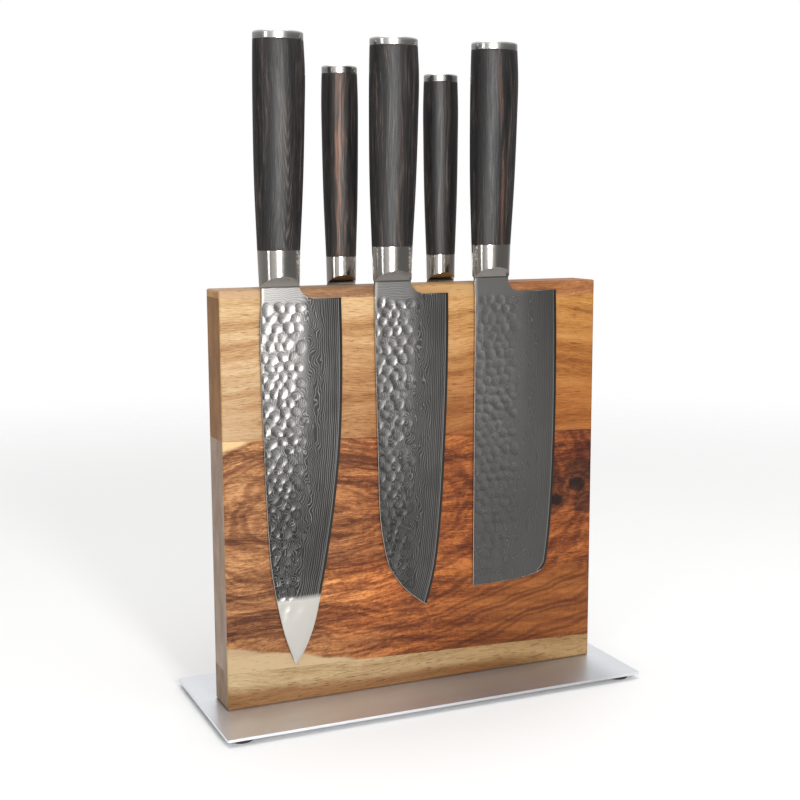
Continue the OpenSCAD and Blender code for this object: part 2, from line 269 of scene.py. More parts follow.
def warm_zones(s, place, colour, uneven):
    """Warmer and more orange to the right, darker high up at the far right, and with a smooth
    orange part low down there."""
    right = along(s, ragged(s, place, 30, 20), -100, 20)
    colour = s.mix(right, colour, (0.87, 0.57, 0.33, 1), "MULTIPLY")
    far = s.math("MULTIPLY", along(s, place, 20, 100), above(s, uneven, 50, 140))
    colour = s.mix(far, colour, (0.62, 0.55, 0.6, 1), "MULTIPLY")
    smooth = s.math("MULTIPLY", along(s, place, 0, 60), less(s, above(s, uneven, 50, 66)))
    band = s.noise(tilted(s, place, 0.12), (0.006, 0.1, 0.2), 3.0)
    calm = s.ramp(band, [(0.35, srgb(116, 62, 24)), (0.65, srgb(158, 96, 46))])
    return s.mix(s.math("MULTIPLY", smooth, 0.75), colour, calm)


def growth_rings(s, place, colour):
    """Growth rings cut through in long arches, which bend round a middle to the left of centre,
    and a fine ripple over them."""
    drift = s.math("SUBTRACT", s.noise(place, (0.012, 0.02, 0.028), 3.0), 0.5)
    apart = s.vector("MULTIPLY", s.vector("SUBTRACT", place, (-52.0, 0.0, 112.0)), (0.42, 0, 1.0))
    away = s.math("MULTIPLY_ADD", drift, 30.0, length_of(s, apart))
    ring = s.math("ADD", s.math("SINE", s.math("MULTIPLY", away, 0.55)),
                  s.math("MULTIPLY", s.math("SINE", s.math("MULTIPLY", away, 1.9)), 0.9))
    ring = s.step(ring, -0.6, 1.8)
    colour = s.mix(s.math("MULTIPLY", ring, 0.6), colour, srgb(178, 146, 118), "MULTIPLY")
    colour = s.mix(s.step(ring, 0.0, 0.4, (0.35, 0.0)), colour, (1.4, 1.45, 1.35, 1), "MULTIPLY")
    ripple = s.noise(place, (0.3, 0.3, 0.1), 2.0, 0.5, 1.6)
    ripple = s.math("MULTIPLY", s.step(ripple, 0.4, 0.62), along(s, place, -110, -60))
    return s.mix(s.math("MULTIPLY", ripple, 0.18), colour, srgb(176, 150, 128), "MULTIPLY")


def pale_zones(s, place, colour, uneven):
    """Pale sapwood in the top left corner and along the bottom left, and paler wood at the left
    end and in a patch between the first two knives."""
    corner = above(s, tilted(s, uneven, -0.36), 182, 186)
    corner = s.math("MULTIPLY", corner, less(s, along(s, place, -88, -80)))
    colour = s.mix(s.math("MULTIPLY", corner, 0.85), colour, srgb(226, 184, 134))
    wedge = less(s, above(s, tilted(s, ragged(s, place, 4, 5, 90.0), 0.21), 10.5, 12.5))
    colour = s.mix(s.math("MULTIPLY", wedge, 0.9), colour, srgb(211, 184, 142))
    top_left = s.math("MULTIPLY", less(s, along(s, place, -90, -60)), above(s, uneven, 128, 146))
    colour = s.mix(s.math("MULTIPLY", top_left, 0.5), colour, (1.7, 1.9, 1.9, 1), "MULTIPLY")
    gold = blot(s, place, (-38.0, 0, 62.0), 30, 7.0)
    return s.mix(s.math("MULTIPLY", gold, 0.5), colour, (2.0, 1.9, 1.6, 1), "MULTIPLY")


def dark_streaks(s, place, colour):
    """Dark streaks low down in the middle, sinking to the right."""
    streak = s.noise(tilted(s, place, 0.13), (0.009, 0.06, 0.12), 4.0, 0.6, 0.6)
    low = s.math("MULTIPLY", less(s, above(s, tilted(s, place, 0.2), 34, 52)),
                 above(s, tilted(s, place, 0.15), 10, 26))
    streak = s.math("MULTIPLY", s.step(streak, 0.42, 0.6), low)
    return s.mix(s.math("MULTIPLY", streak, 0.6), colour, srgb(150, 110, 84), "MULTIPLY")


def dark_knot(s, place, colour):
    """A dark knot at the right edge, in three lobes, with faint rings and two black eyes."""
    knot = blot(s, place, (107.0, 0, 119.0), 13, 3.0)
    knot = s.math("MAXIMUM", knot, blot(s, place, (86.0, 0, 107.0), 15, 13.0))
    knot = s.math("MAXIMUM", knot, blot(s, place, (112.0, 0, 102.0), 12, 23.0))
    core = s.noise(place, (0.14, 0.14, 0.2), 3.0, 0.6, 1.0)
    colour = s.mix(s.math("MULTIPLY", knot, s.step(core, 0.3, 0.6, (0.95, 0.6))), colour,
                   srgb(52, 22, 12))
    apart = s.vector("SUBTRACT", ragged(s, place, 5, 7, 60.0), (102.0, 0, 112.0))
    away = length_of(s, s.vector("MULTIPLY", apart, (0.8, 0, 1)))
    bent = s.math("MULTIPLY_ADD", core, 9.0, away)
    swirl = s.step(s.math("SINE", s.math("MULTIPLY", bent, 1.4)), 0.2, 0.9)
    swirl = s.math("MULTIPLY", swirl, s.step(away, 6, 17, (0.32, 0.0)))
    colour = s.mix(swirl, colour, srgb(142, 82, 48))
    eye = s.math("MAXIMUM", blot(s, place, (104.0, 0, 112.0), 6, 31.0),
                 blot(s, place, (90.0, 0, 104.0), 4.5, 41.0))
    return s.mix(s.math("MULTIPLY", eye, 0.85), colour, srgb(18, 8, 6))


def lower_zones(s, place, colour):
    """All that sets the lower plank apart, each feature painted over the last."""
    uneven = ragged(s, place, 7, 9, 40.0)
    colour = warm_zones(s, place, colour, uneven)
    colour = growth_rings(s, place, colour)
    colour = pale_zones(s, place, colour, uneven)
    colour = dark_streaks(s, place, colour)
    return dark_knot(s, place, colour)


def bottom_zones(s, place, colour):
    """Brown at the foot on the left, thinning out to the right."""
    colour = s.mix(along(s, place, -60, 90), colour, srgb(222, 206, 186), "MULTIPLY")
    slope = tilted(s, ragged(s, place, 6, 5, 20.0), 0.03)
    low = less(s, above(s, slope, 4, 10.5))
    left = less(s, along(s, place, 40, 100))
    return s.mix(s.math("MULTIPLY", s.math("MULTIPLY", low, left), 0.9), colour,
                 srgb(182, 144, 110), "MULTIPLY")


def top_zones(s, place, colour):
    """Paler between the second and third knives, redder at the right end."""
    middle = s.math("MULTIPLY", along(s, place, -8, 0), less(s, along(s, place, 30, 44)))
    colour = s.mix(s.math("MULTIPLY", middle, 0.8), colour, srgb(214, 168, 110))
    left = less(s, along(s, ragged(s, place, 8, 6), -94, -84))
    colour = s.mix(s.math("MULTIPLY", left, 0.7), colour, srgb(230, 192, 148))
    return s.mix(along(s, place, 30, 80), colour, (1.25, 1.0, 0.75, 1), "MULTIPLY")


def finish_board():
    planks = {
        "upper_plank": acacia("acacia_upper", 1,
                              (srgb(164, 122, 76), srgb(206, 168, 120), srgb(230, 204, 162)),
                              upper_zones, (srgb(128, 88, 52), srgb(152, 110, 70)), 0.15),
        "lower_plank": acacia("acacia_lower", 2,
                              (srgb(104, 60, 32), srgb(158, 104, 64), srgb(208, 152, 102)),
                              lower_zones, (srgb(136, 114, 98), srgb(160, 141, 124)), 0.6),
        "bottom_strip": acacia("acacia_bottom", 3,
                               (srgb(166, 134, 92), srgb(192, 162, 118), srgb(210, 184, 142)),
                               bottom_zones, (srgb(118, 94, 72), srgb(154, 132, 106)), 0.2, 0.7),
        "top_strip": acacia("acacia_top", 4,
                            (srgb(136, 94, 62), srgb(168, 124, 88), srgb(196, 156, 116)),
                            top_zones, (srgb(168, 126, 78), srgb(194, 148, 98)), 0.3, 0.7),
    }
    for node, material in planks.items():
        NODES[node].data.materials.clear()
        NODES[node].data.materials.append(material)


# ---- Steel, rubber and inner parts ----


def brushed_steel(name, colour, roughness, stretch, grain=0.1, spread=None, darker=1.0):
    """Steel with fine scratches, drawn out along the axis with the smallest stretch. spread is
    the direction in which they smear reflections, and darker sets how far the front right of
    the middle, short of the end, is darkened: a painted reflection of the dark lower plank."""
    s = Shader(name)
    place = s.place()
    scratch = s.noise(place, stretch, 4.0, 0.65)
    cloud = s.noise(place, (0.03, 0.03, 0.03), 2.0)
    shade = s.step(scratch, 0.25, 0.75, (1 - grain, 1.0))
    # Painted reflection: the front right is darkened, standing in for the dark lower plank seen in it
    front = less(s, s.step(s.split(place)[1], -20, 10))
    dim = s.math("MULTIPLY", front, s.step(s.split(place)[0], -40, 40, (0.0, 1 - darker)))
    dim = s.math("MULTIPLY", dim, less(s, along(s, place, 98, 118)))
    shade = s.math("MULTIPLY", shade, less(s, dim))
    tint = s.vector("SCALE", s.join(*colour[:3]), scale=shade)
    s.set(Base_Color=tint, Metallic=1.0)
    rough = s.math("MULTIPLY_ADD", scratch, 0.16, roughness - 0.08)
    s.set(Roughness=s.math("MULTIPLY_ADD", s.math("SUBTRACT", cloud, 0.5), 0.06, rough))
    if spread is not None:
        s.set(Anisotropic=0.6, Tangent=s.join(*spread))
    s.bump(scratch, 0.2, 0.02)
    return s.material


def plain(name, colour, roughness, metallic=0.0):
    """A dull surface with a little unevenness in colour and finish."""
    s = Shader(name)
    place = s.place()
    grain = s.noise(place, (1.4, 1.4, 1.4), 4.0)
    shade = s.step(grain, 0.2, 0.8, (0.8, 1.1))
    s.set(Base_Color=s.vector("SCALE", s.join(*colour[:3]), scale=shade), Metallic=metallic)
    s.set(Roughness=s.step(grain, 0.2, 0.8, (roughness - 0.06, roughness + 0.06)))
    s.bump(grain, 0.3, 0.05)
    return s.material


def finish_small_parts():
    rubber = plain("foot_rubber", srgb(30, 30, 31), 0.7)
    ferrite = plain("ferrite", srgb(62, 62, 66), 0.55, 0.4)
    keeper = brushed_steel("keeper_steel", srgb(150, 150, 152), 0.4, (0.05, 3, 3))
    screw = brushed_steel("screw_steel", srgb(190, 190, 190), 0.3, (1.5, 1.5, 1.5))
    brass = brushed_steel("insert_brass", srgb(222, 184, 110), 0.3, (2, 2, 0.3))
    # The plate's last value paints a darker reflection of the lower plank at its front right
    plate = brushed_steel("plate_steel", srgb(228, 230, 234), 0.38, (0.02, 2.6, 2.6), 0.06,
                          (0.0, 1.0, 0.0), 0.7)
    finishes = {"base_plate": plate, "base_screws": screw, "threaded_inserts": brass}
    for node in NODES:
        if node.startswith("foot_"):
            finishes[node] = rubber
        elif node.endswith("magnets"):
            finishes[node] = ferrite
        elif node.endswith("keeper"):
            finishes[node] = keeper
    for node, material in finishes.items():
        NODES[node].data.materials.clear()
        NODES[node].data.materials.append(material)


# ---- Knife materials ----


# What the layer lines' brightness is spread about, where they are made more or less clear
LINE_LEVEL = 0.4


def blade_steel(name, dark, light, pale, polish):
    """Etched layered steel: dark and light layers by the edge, and a pale pair of tones on the
    hammered side. The mesh carries, for each point, which layer it is in, the depth of
    its dimple, how far the layers are stirred there, how clear they are and how bright it is
    ground; the lines are drawn from those."""
    s = Shader(name)
    place = s.place()
    keys = ("edge_gap", "layer", "dimple", "stir", "polish", "ricasso", "margin", "seam", "pale",
            "vivid")
    edge_gap, layer, dimple, stir, shine, ricasso, margin, seam, pale_share, vivid = (
        s.node("ShaderNodeAttribute", attribute_name=key).outputs["Fac"] for key in keys)
    wide = s.math("SUBTRACT", s.noise(place, (0.14, 0.14, 0.1), 1.0, 0.5, 0.6), 0.5)
    fine = s.math("SUBTRACT", s.noise(place, (0.4, 0.4, 0.3), 1.0), 0.5)
    shift = s.math("MULTIPLY_ADD", fine, 1.6, s.math("MULTIPLY", wide, 9.0))
    shift = s.math("MULTIPLY", shift, s.math("MULTIPLY_ADD", ricasso, -0.75, 1.0))
    straight = s.math("MULTIPLY", wide, 1.1)
    layer = s.math("MULTIPLY_ADD", stir, shift, s.math("ADD", layer, straight))
    layer = s.math("MULTIPLY_ADD", dimple, 2.6, layer)
    wave = s.math("SINE", s.math("MULTIPLY", layer, 5.3))
    second = s.math("SINE", s.math("MULTIPLY", layer, 12.3))
    line = s.step(s.math("MULTIPLY_ADD", second, 0.35, wave), 0.3, 1.15)
    patchy = s.step(s.noise(place, (0.1, 0.1, 0.05), 2.0), 0.35, 0.65, (0.6, 1.0))
    line = s.math("MULTIPLY", line, patchy)
    line = s.math("MULTIPLY_ADD", s.math("SUBTRACT", line, LINE_LEVEL), vivid, LINE_LEVEL)
    # The layers are fainter on the ricasso, and none show on the final bevel
    line = s.math("MULTIPLY_ADD", ricasso, s.math("MULTIPLY_ADD", line, -0.35, 0.2), line)
    bevel = less(s, s.step(edge_gap, BEVEL_W - 0.1, BEVEL_W + 0.15))
    line = s.math("MULTIPLY", line, less(s, bevel))
    # Painted highlight: a light line just inside the final bevel, where its rounded shoulder catches
    # light
    bevel_highlight = s.math("SUBTRACT", s.step(edge_gap, BEVEL_W - 0.1, BEVEL_W + 0.1),
                  s.step(edge_gap, BEVEL_W + 0.3, BEVEL_W + 0.6))
    line = s.math("MULTIPLY_ADD", bevel_highlight, 0.9, line)
    # Lighter along the spine near the handle: partly an unhammered flat, partly a painted highlight
    line = s.math("MULTIPLY_ADD", margin, 0.8, line, clamp=True)
    scratch = s.noise(place, (2.2, 2.2, 0.04), 3.0)
    # The hammered side is etched less than the edge side; paler towards the handle is painted light
    hammered = s.math("MULTIPLY", s.step(edge_gap, 18, 25), pale_share)
    low_tone = s.mix(hammered, dark, pale[0])
    colour = s.mix(line, low_tone, s.mix(hammered, light, pale[1]))
    # Painted light: the blade is made brighter higher up, where it reflects more light
    height_light = s.step(s.split(place)[2], 90, 215, (0.75, 1.5))
    colour = s.vector("SCALE", colour, scale=height_light)
    # Painted shade: a dark ring round the shallow rim of each dent, for the dark crescents it reflects
    rim = s.math("MULTIPLY", s.step(dimple, 0.01, 0.06), s.step(dimple, 0.1, 0.3, (1.0, 0.0)))
    rim = s.math("MULTIPLY", rim, vivid)
    colour = s.mix(s.math("MULTIPLY", rim, 0.4), colour, srgb(34, 34, 34))
    # Painted shade: the final bevel is made a little darker
    colour = s.mix(s.math("MULTIPLY", bevel, 0.05), colour, srgb(60, 60, 61))
    colour = s.mix(shine, colour, polish)
    # Painted shadow: dark where the blade goes in under the bolster
    colour = s.mix(s.math("MULTIPLY", seam, 0.85), colour, srgb(24, 23, 22))
    s.set(Base_Color=colour, Metallic=1.0)
    rough = s.math("MULTIPLY_ADD", scratch, 0.08, s.step(shine, 0.0, 1.0, (0.27, 0.2)))
    s.set(Roughness=rough)
    s.bump(s.math("MULTIPLY_ADD", scratch, 0.3, line), 0.3, 0.02)
    return s.material


def laminated_wood(knife, seed, warmth, arch):
    """Dark dyed wood: near-black with fine grey-brown grain up the handle, an arched figure low
    down, and orange-brown streaks on one side where it is warm."""
    s = Shader(knife.name + "_laminate")
    centre = (knife.to_row(knife.middle(), 0, 0) / MM).tolist()
    place = s.vector("SUBTRACT", s.place(), tuple(centre))
    moved = s.vector("ADD", place, (seed * 53.0, seed * 17.0, seed * 29.0))
    sway = s.math("SUBTRACT", s.noise(moved, (0.05, 0.05, 0.016), 2.0), 0.5)
    swayed = s.vector("ADD", moved, s.join(x=s.math("MULTIPLY", sway, 9.0)))
    layer = s.noise(swayed, (0.3, 0.2, 0.008), 3.0, 0.6)
    coarse = s.noise(swayed, (0.9, 0.9, 0.022), 3.0, 0.7)
    fine = s.noise(swayed, (2.2, 2.2, 0.06), 3.0, 0.7)
    # The arches: growth rings cut at a slant, with their feet near the bolster
    x, _, z = s.split(place)
    out = s.math("SUBTRACT", s.math("MULTIPLY_ADD", sway, 7.0, x), 2.0)
    bow = s.math("MULTIPLY", s.math("POWER", s.math("ABSOLUTE", out), 1.6), 2.3)
    ring = s.math("SINE", s.math("MULTIPLY", s.math("SUBTRACT", z, bow), 0.75))
    figured = s.step(z, 60, 105, (arch, arch * 0.3))
    tone = s.math("MULTIPLY_ADD", s.math("SUBTRACT", coarse, 0.5), 1.15, layer)
    tone = s.math("MULTIPLY_ADD", s.math("SUBTRACT", fine, 0.5), 0.6, tone)
    tone = s.math("MULTIPLY_ADD", ring, figured, tone)
    colour = s.ramp(tone, [(0.3, srgb(9, 8, 8)), (0.5, srgb(23, 21, 20)),
                           (0.66, srgb(44, 38, 36)), (0.9, srgb(88, 78, 72))])
    # The orange-brown streaks run near the middle
    start = -8.0 if knife.side > 0 else -4.0
    strip = s.math("MULTIPLY", s.step(out, start, start + 3),
                   s.step(out, start + 5, start + 8, (1.0, 0.0)))
    strip = s.math("MULTIPLY", strip, s.step(layer, 0.4, 0.56))
    thread = s.math("MULTIPLY", strip, s.step(coarse, 0.4, 0.64))
    colour = s.mix(s.math("MULTIPLY", thread, warmth), colour, srgb(132, 86, 58))
    s.set(Base_Color=colour, Roughness=s.step(fine, 0.25, 0.75, (0.36, 0.56)))
    s.set(Specular_IOR_Level=0.42)
    s.bump(s.math("ADD", coarse, s.math("MULTIPLY", fine, 0.5)), 0.5, 0.15)
    return s.material


# ---- Knife shapes ----
# A knife is drawn as in the frame's own knives: u runs from the spine to the edge, v up from the
# bolster's lowest line, w out from the middle plane, all in millimetres.

# Share of the grip's length, width as a share of the widest, share of the end's lean
GRIP_SECTIONS = ((0.0, 0.83, 0.0), (0.33, 0.94, 0.4), (0.65, 0.99, 0.84), (0.86, 1.0, 1.1),
                 (1.0, 0.965, 1.0))
HANDLE_OVAL = 0.7
HANDLE_SEGMENTS = 96
BOLSTER_SLOPE = 40.0
# A tang's top as a share of the neck's width
TANG_TOP = 0.34
BLADE_SPACING = 0.58
BEVEL_W = 1.6
GRIND_W = 22.0
EDGE_HALF = 0.04
EASE_W = 0.3


class Knife:
    """Where one knife of the frame is, and what is measured on it."""

    def __init__(self, name):
        self.name = name
        self.body = name + "_knife"
        blade_low, blade_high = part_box(name + "_blade")
        bolster_low, bolster_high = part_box(name + "_bolster")
        cap_low, cap_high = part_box(name + "_cap")
        self.side = -1 if blade_low[1] < 0 else 1
        ends = [p.co[0] for p in NODES[name + "_blade"].data.vertices
                if p.co[2] > blade_high[2] - 0.01 * MM]
        self.neck_w = (max(ends) - min(ends)) / MM / TANG_TOP
        middle_x = (bolster_low[0] + bolster_high[0]) / 2
        self.spine_x = middle_x + self.side * self.neck_w / 2 * MM
        self.mid_y = (blade_low[1] + blade_high[1]) / 2
        self.zero_z = bolster_low[2]
        self.half_t = (blade_high[1] - blade_low[1]) / 2 / MM
        self.bolster_l = (bolster_high[2] - bolster_low[2]) / MM
        self.handle_l = (cap_high[2] - bolster_low[2]) / MM
        self.cap_l = (cap_high[2] - cap_low[2]) / MM
        self.top_w = (bolster_high[0] - bolster_low[0]) / MM
        self.grip_w = self.top_w / GRIP_SECTIONS[0][1]
        self.lean = abs((cap_low[0] + cap_high[0]) / 2 - middle_x) / MM

    def middle(self, lean_share=0.0):
        """Where the handle's middle is, at a share of the lean of its end."""
        return self.neck_w / 2 + lean_share * self.lean

    def to_knife(self, point):
        return (-self.side * (point[0] - self.spine_x) / MM, (point[2] - self.zero_z) / MM)

    def to_row(self, u, v, w):
        """Row-frame points in metres from knife coordinates in millimetres."""
        x = self.spine_x - self.side * np.asarray(u) * MM
        y = self.mid_y + self.side * np.asarray(w) * MM
        z = self.zero_z + np.asarray(v) * MM
        return np.stack(np.broadcast_arrays(x, y, z), axis=-1)


def make_piece(name, points, faces, material, knife, part, sharp=35.0):
    mesh = bpy.data.meshes.new(name)
    mesh.from_pydata([tuple(map(float, p)) for p in points], [], faces)
    mesh.validate()
    mesh.update()
    piece = bpy.data.objects.new(name, mesh)
    bpy.context.scene.collection.objects.link(piece)
    mesh.materials.append(material)
    mesh.shade_smooth()
    mesh.set_sharp_from_angle(angle=math.radians(sharp))
    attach(piece, knife.body)
    node = knife.name + "_" + part
    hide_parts(node)
    return piece


def oval(middle, width, count=HANDLE_SEGMENTS):
    """One oval slice: its u and w, going round."""
    turn = np.linspace(0, 2 * np.pi, count, endpoint=False)
    return middle + width / 2 * np.cos(turn), width * HANDLE_OVAL / 2 * np.sin(turn)


def skin_faces(rows, count):
    """The faces of a closed skin through rows of count points each."""
    faces = []
    for row in range(rows - 1):
        for i in range(count):
            j = (i + 1) % count
            faces.append((row * count + i, (row + 1) * count + i,
                          (row + 1) * count + j, row * count + j))
    top = (rows - 1) * count
    faces.append(tuple(range(count)))
    faces.append(tuple(reversed(range(top, top + count))))
    return faces


def loft(rings, heights):
    """Closed skin through slices of equal count, with flat ends."""
    count = len(rings[0][0])
    u = np.concatenate([r[0] for r in rings])
    w = np.concatenate([r[1] for r in rings])
    return u, np.repeat(heights, count), w, skin_faces(len(rings), count)


def smooth_values(share, column):
    """A grip section's value at a share of the grip's length, on a smooth curve."""
    at = [s[0] for s in GRIP_SECTIONS]
    value = [s[column] for s in GRIP_SECTIONS]
    slope = np.gradient(value, at)
    i = int(np.clip(np.searchsorted(at, share) - 1, 0, len(at) - 2))
    span = at[i + 1] - at[i]
    t = (share - at[i]) / span
    return ((2 * t**3 - 3 * t**2 + 1) * value[i] + (t**3 - 2 * t**2 + t) * span * slope[i]
            + (3 * t**2 - 2 * t**3) * value[i + 1] + (t**3 - t**2) * span * slope[i + 1])


def make_handle(knife, material):
    """The wooden grip, with a fine eased edge at both ends."""
    low = knife.bolster_l
    grip_l = knife.handle_l - knife.bolster_l - knife.cap_l
    shares = [0.0, 0.0012, 0.004] + list(np.linspace(0.02, 0.98, 49)) + [0.996, 0.9988, 1.0]
    rings = []
    for share in shares:
        ease = 0.3 * max(0.0, 1 - min(share, 1 - share) / 0.004) ** 2
        width = smooth_values(share, 1) * knife.grip_w - ease
        rings.append(oval(knife.middle(smooth_values(share, 2)), width))
    u, v, w, faces = loft(rings, [low + share * grip_l for share in shares])
    make_piece(knife.name + "_grip", knife.to_row(u, v, w), faces, material, knife, "handle")


def make_cap(knife, material):
    low = knife.handle_l - knife.cap_l
    middle = knife.middle(1.0)
    width = GRIP_SECTIONS[-1][1] * knife.grip_w
    rings, heights = [oval(middle, width - 0.2), oval(middle, width - 0.1)], [low, low + 0.12]
    round_r = 1.0
    for step in range(9):
        turn = step / 8 * math.pi / 2
        rings.append(oval(middle, width - 0.1 - 2 * round_r * (1 - math.cos(turn))))
        heights.append(knife.handle_l - round_r + round_r * math.sin(turn))
    for share in (0.75, 0.4, 0.1):
        rings.append(oval(middle, (width - 2 * round_r) * share))
        heights.append(knife.handle_l)
    u, v, w, faces = loft(rings, heights)
    make_piece(knife.name + "_end_cap", knife.to_row(u, v, w), faces, material, knife, "cap")


def make_bolster(knife, material):
    """Steel bolster whose underside is two slopes rising from the blade's faces."""
    slope = math.tan(math.radians(BOLSTER_SLOPE))
    bottom_w = knife.neck_w + 0.6
    middle = knife.middle()
    grow = (knife.top_w - bottom_w) / knife.bolster_l
    base_u, base_w = oval(middle, bottom_w)
    start = np.maximum(0.0, (np.abs(base_w) - knife.half_t) * slope)
    rings = [(base_u, np.clip(base_w, -knife.half_t, knife.half_t))]
    heights = [np.zeros_like(base_u)]
    for share in np.linspace(0, 1, 14):
        v = start + (knife.bolster_l - 0.05 - start) * share
        stretch = (bottom_w + grow * v) / bottom_w
        rings.append((middle + (base_u - middle) * stretch, base_w * stretch))
        heights.append(v)
    shrink = (knife.top_w - 0.02) / bottom_w
    rings.append((middle + (base_u - middle) * shrink, base_w * shrink))
    heights.append(np.full_like(base_u, knife.bolster_l))
    u = np.concatenate([r[0] for r in rings])
    w = np.concatenate([r[1] for r in rings])
    v = np.concatenate(heights)
    faces = skin_faces(len(rings), len(base_u))
    make_piece(knife.name + "_bolster_skin", knife.to_row(u, v, w), faces, material, knife,
               "bolster", 25.0)


def side_lines(knife, heights):
    """The blade's least and greatest u at each height, read from the frame's blade."""
    mesh = NODES[knife.name + "_blade"].data
    ends = np.array([[knife.to_knife(mesh.vertices[i].co) for i in edge.vertices]
                     for edge in mesh.edges])
    low, high = np.full(len(heights), np.inf), np.full(len(heights), -np.inf)
    for (u0, v0), (u1, v1) in ends:
        if abs(v1 - v0) < 1e-6:
            continue
        share = (heights - v0) / (v1 - v0)
        hit = (share >= -1e-9) & (share <= 1 + 1e-9)
        u = u0 + (u1 - u0) * share
        low = np.where(hit, np.minimum(low, u), low)
        high = np.where(hit, np.maximum(high, u), high)
    return low, high


def blade_outline(knife):
    """Heights down the blade from its heel with the spine's and the edge's u, and the same for
    the narrow neck above the heel."""
    mesh = NODES[knife.name + "_blade"].data
    corners = np.array([knife.to_knife(p.co) for p in mesh.vertices])
    tip_v = corners[:, 1].min()
    heel_v = corners[corners[:, 0] > corners[:, 0].max() - 1.2, 1].max()
    below = np.linspace(heel_v - 0.02, tip_v + 0.02, int((heel_v - tip_v) / 0.6))
    above = np.linspace(heel_v + 0.02, -0.05, 14)
    return (below, *side_lines(knife, below), above, *side_lines(knife, above))


def near_line(points, line):
    """Each point's distance from a polyline."""
    best = np.full(len(points), np.inf)
    for a, b in zip(line[:-1], line[1:]):
        run = b - a
        share = np.clip(((points - a) @ run) / max(run @ run, 1e-12), 0, 1)
        gap = np.hypot(*(points - a - share[:, None] * run).T)
        best = np.minimum(best, gap)
    return best


def inside(points, loop):
    """Which points lie inside a closed loop."""
    x, y = points.T
    result = np.zeros(len(points), bool)
    for (x0, y0), (x1, y1) in zip(loop, np.roll(loop, -1, axis=0)):
        crosses = (y0 > y) != (y1 > y)
        with np.errstate(divide="ignore", invalid="ignore"):
            at = x0 + (y - y0) * (x1 - x0) / (y1 - y0)
        result ^= crosses & (x < at)
    return result


def dimple_field(points, low_v, high_v, width_at, spine_at, depth, share, seed):
    """Hammer marks: shallow uneven bowls, close together on the spine side of the blade."""
    random = np.random.default_rng(seed)
    field = np.zeros(len(points))
    row_step, column_step = 5.1, 5.9
    row, v = 0, high_v
    while v > low_v:
        start, reach = spine_at(v), width_at(v) * share
        u = start + (1.4 if row % 2 else 4.2)
        while u < start + reach:
            place = np.array([u + random.normal(0, 0.8), v + random.normal(0, 0.8)])
            radius = random.uniform(2.5, 3.5)
            last = u > start + reach - column_step
            fade = random.uniform(0.3, 0.8) if last else 1.0
            fade *= np.clip((v - low_v) / 14.0, 0.25, 1)
            bowl_depth = depth * random.uniform(0.7, 1.15) * fade
            turn, squash = random.uniform(0, math.pi), random.uniform(0.72, 1.0)
            near = np.abs(points - place).max(axis=1) < radius * 1.5
            across, up = (points[near] - place).T
            first = (across * math.cos(turn) + up * math.sin(turn)) * squash
            second = (up * math.cos(turn) - across * math.sin(turn)) / squash**0.3
            bowl = bowl_depth * (1 - (first**2 + second**2) / radius**2)
            field[near] = np.maximum(field[near], bowl)
            u += column_step
        v -= row_step
        row += 1
    return field


def write_attribute(mesh, name, values):
    layer = mesh.attributes.new(name, "FLOAT", "POINT")
    layer.data.foreach_set("value", np.asarray(values, dtype=np.float32))


def split_edge(spine, edge):
    """The blunt outline (the spine, and the end where it runs across) and the sharpened edge."""
    run = np.abs(np.diff(edge, axis=0))
    across = run[:, 0] > 1.2 * run[:, 1]
    across[: int(len(across) * 0.8)] = False
    first = int(np.argmax(across)) if across.any() else len(edge) - 1
    return np.vstack([spine, edge[first:][::-1]]), edge[: first + 1]


def offset_line(line, distance, loop):
    """Points at a distance inside the outline, along one of its lines."""
    run = np.gradient(line, axis=0)
    run = run / np.maximum(np.hypot(*run.T), 1e-9)[:, None]
    for side in (1, -1):
        moved = line + side * distance * np.column_stack([-run[:, 1], run[:, 0]])
        inner = inside(moved, loop)
        if inner.mean() > 0.5:
            break
    inner &= near_line(moved, line) > distance * 0.97
    return moved[inner]


def blade_plan(knife):
    """The blade's outline and the points inside it, in a flat net of triangles."""
    below, spine_u, edge_u, above_v, neck_low, neck_high = blade_outline(knife)
    spine = np.column_stack([spine_u, below])
    edge = np.column_stack([edge_u, below])
    heel_line = np.column_stack([np.linspace(edge_u[0], neck_high[0], 24)[1:-1],
                                 np.full(22, (below[0] + above_v[0]) / 2)])
    wide, tang_top = knife.neck_w, knife.handle_l - knife.cap_l / 2
    tang = np.array([[wide * 0.8, 0.0], [wide * 0.72, tang_top], [wide * 0.38, tang_top],
                     [wide * 0.2, 0.0]])
    neck = np.column_stack([neck_high, above_v])
    neck_left = np.column_stack([neck_low, above_v])[::-1]
    loop = np.vstack([spine, edge[::-1][1:], heel_line, neck, tang, neck_left])
    blunt, sharp = split_edge(spine, edge)
    across = np.arange(-2, edge_u.max() + 1, BLADE_SPACING)
    up = np.arange(below[-1], 0.0, BLADE_SPACING * 0.866)
    net_u, net_v = np.meshgrid(across, up)
    net_u[1::2] += BLADE_SPACING / 2
    net = np.column_stack([net_u.ravel(), net_v.ravel()])
    net = net[inside(net, loop)]
    bevel = offset_line(sharp, BEVEL_W, loop)
    bevel = bevel[near_line(bevel, blunt) > BLADE_SPACING * 0.5]
    ease = offset_line(np.vstack([neck_left, blunt[1:]]), EASE_W, loop)
    ease = ease[near_line(ease, sharp) > BEVEL_W * 0.4]
    closed = np.vstack([loop, loop[:1]])
    net = net[near_line(net, closed) > BLADE_SPACING * 0.5]
    net = net[near_line(net, bevel) > BLADE_SPACING * 0.4]
    count = len(loop)
    rim = [(i, (i + 1) % count) for i in range(count)]
    crease = [(count + i, count + i + 1) for i in range(len(bevel) - 1)
              if np.hypot(*(bevel[i + 1] - bevel[i])) < 3]
    flat = np.vstack([loop, bevel, ease, net])
    found = delaunay_2d_cdt([Vector(p) for p in flat], rim + crease, [], 1, 1e-5)
    points = np.array([tuple(p) for p in found[0]])
    return points, found[2], blunt, sharp, neck_left, below, spine_u, edge_u


